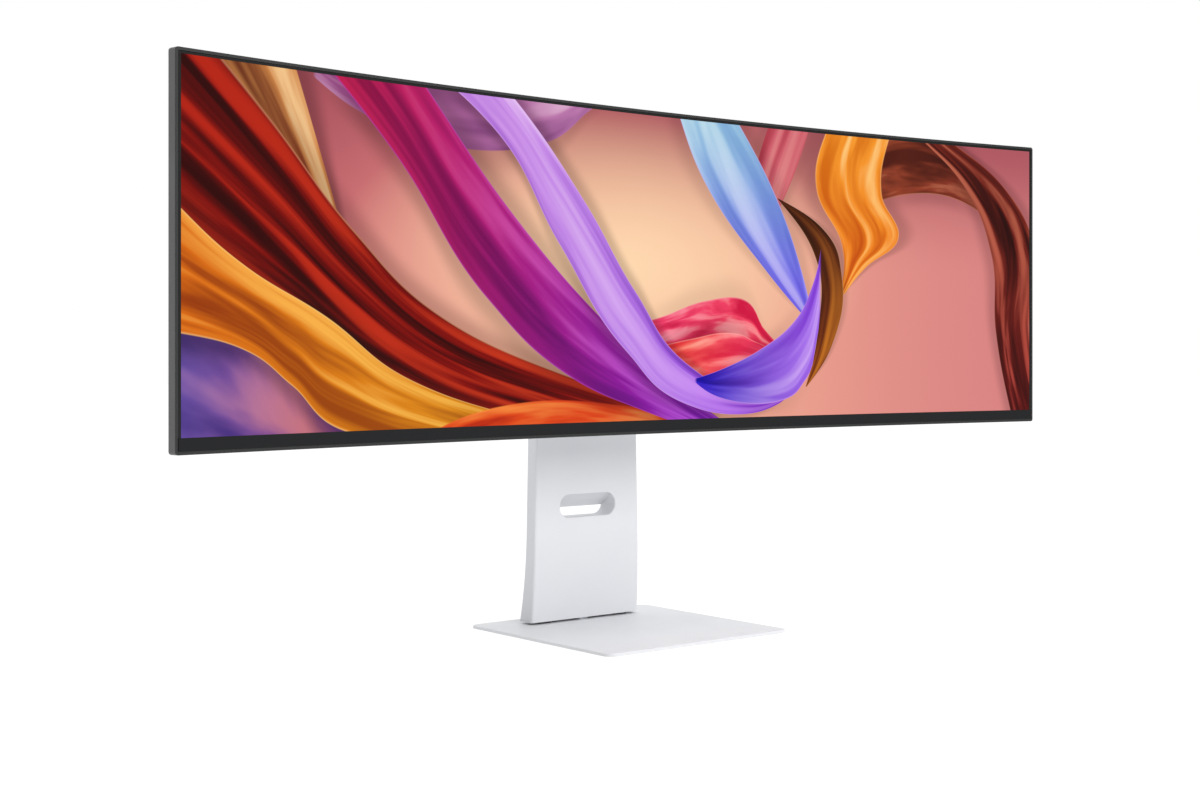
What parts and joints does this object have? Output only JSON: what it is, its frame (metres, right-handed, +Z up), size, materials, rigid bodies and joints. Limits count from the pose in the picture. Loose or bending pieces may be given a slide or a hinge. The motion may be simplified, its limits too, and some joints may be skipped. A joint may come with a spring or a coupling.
{
  "type": "computer monitor",
  "caption": "Curved 32:9 ultrawide desktop monitor on a plate stand that swivels, lifts and tilts, with a cable slot through the neck.",
  "frame": {"origin": "on the table, under the middle of the base plate", "axes": "+X to the right of someone facing the screen, +Y to the back, +Z up; the screen faces -Y"},
  "size_m": [1.2078, 0.253, 0.584],
  "materials": {
    "white_steel": "fine matt powder coat",
    "rubber": "matt",
    "steel": "zinc plated",
    "cast_metal": "as cast",
    "dark_plastic": "fine texture",
    "white_plastic": "fine texture",
    "spring_steel": "bright rolled",
    "grey_frame": "satin grey",
    "dark_frame": "satin",
    "chin_plastic": "fine texture",
    "screen": "anti-glare",
    "film": "matt",
    "clear_acrylic": "clear",
    "board": "solder mask",
    "tray_metal": "plain sheet",
    "socket_metal": "nickel plated",
    "blade_metal": "plated",
    "heat_sink_metal": "anodised",
    "light_lens": "frosted"
  },
  "bodies": {
    "base": {"base_plate": "white_steel", "base_feet": "rubber", "base_screw": "steel", "pivot_post": "steel", "pivot_nut": "steel"},
    "neck": {"neck_foot": "cast_metal", "glide_pads": "dark_plastic", "neck_column": "steel", "neck_front_cover": "white_plastic", "neck_rear_cover": "white_plastic", "neck_screws": "steel", "cable_slot_liner": "white_plastic", "guide_rods": "steel", "stop_buffers": "rubber", "lift_springs": "spring_steel", "spring_strips": "spring_steel", "spring_arbor": "steel"},
    "carriage": {"carriage_plate": "steel", "slide_bushes": "dark_plastic", "carriage_screws": "steel", "tilt_bracket": "cast_metal", "tilt_spring": "spring_steel"},
    "release": {"release_button": "white_plastic"},
    "latch": {"latch_hook": "steel"},
    "stick_ring": {"joystick_ring": "dark_plastic"},
    "stick": {"joystick_stem": "dark_plastic"},
    "knob": {"joystick_knob": "dark_plastic"},
    "display": {"tilt_shaft": "steel", "tilt_nut": "steel", "friction_washers": "spring_steel", "head_plate": "steel", "hinge_cover": "white_plastic", "mount_frame": "steel", "middle_frame": "grey_frame", "front_frame": "dark_frame", "chin_bezel": "chin_plastic", "lcd_panel": "screen", "optical_sheets": "film", "light_guide_plate": "clear_acrylic", "led_bar": "board", "panel_chassis": "tray_metal", "rear_cover": "white_plastic", "cover_screws": "steel", "socket_tray": "dark_plastic", "inlet_tray": "dark_plastic", "hdmi_sockets": "socket_metal", "display_port_socket": "socket_metal", "usb_c_socket": "socket_metal", "usb_a_sockets": "socket_metal", "headphone_socket": "dark_plastic", "mains_inlet": "dark_plastic", "inlet_blades": "blade_metal", "lock_plate": "steel", "main_board": "board", "power_board": "board", "board_posts": "steel", "heat_sink": "heat_sink_metal", "speakers": "dark_plastic", "joystick_base": "dark_plastic", "status_light": "light_lens"}
  },
  "joints": [
    {"name": "swivel", "type": "hinge", "parent": "base", "child": "neck", "pos_m": [0, 0.089, 0], "axis": [0, 0, 1], "range_deg": [-15, 15]},
    {"name": "lift", "type": "slide", "parent": "neck", "child": "carriage", "axis": [0, 0, 1], "range_m": [-0.11, 0], "deforming": ["spring_strips"]},
    {"name": "tilt", "type": "hinge", "parent": "carriage", "child": "display", "pos_m": [0, 0.036, 0.41], "axis": [-1, 0, 0], "range_deg": [-5, 15]},
    {"name": "release_press", "type": "slide", "parent": "display", "child": "release", "axis": [0, -1, 0], "range_m": [0, 0.0025], "stiffness_N_per_m": 900, "springref_m": -0.001},
    {"name": "latch_slide", "type": "slide", "parent": "display", "child": "latch", "axis": [0, 0, -1], "range_m": [0, 0.0045]},
    {"name": "stick_left_right", "type": "hinge", "parent": "display", "child": "stick_ring", "pos_m": [0, -0.0357, 0.246], "axis": [0, 1, 0], "range_deg": [-5, 5], "stiffness_Nm_per_rad": 0.4},
    {"name": "stick_fore_aft", "type": "hinge", "parent": "stick_ring", "child": "stick", "pos_m": [0, -0.0357, 0.246], "axis": [1, 0, 0], "range_deg": [-5, 5], "stiffness_Nm_per_rad": 0.4},
    {"name": "stick_press", "type": "slide", "parent": "stick", "child": "knob", "axis": [0, 0, 1], "range_m": [0, 0.0006], "stiffness_N_per_m": 1500, "springref_m": -0.0005}
  ],
  "couplings": [
    {"joint": "latch_slide", "follows": "release_press", "ratio": 1.8}
  ]
}
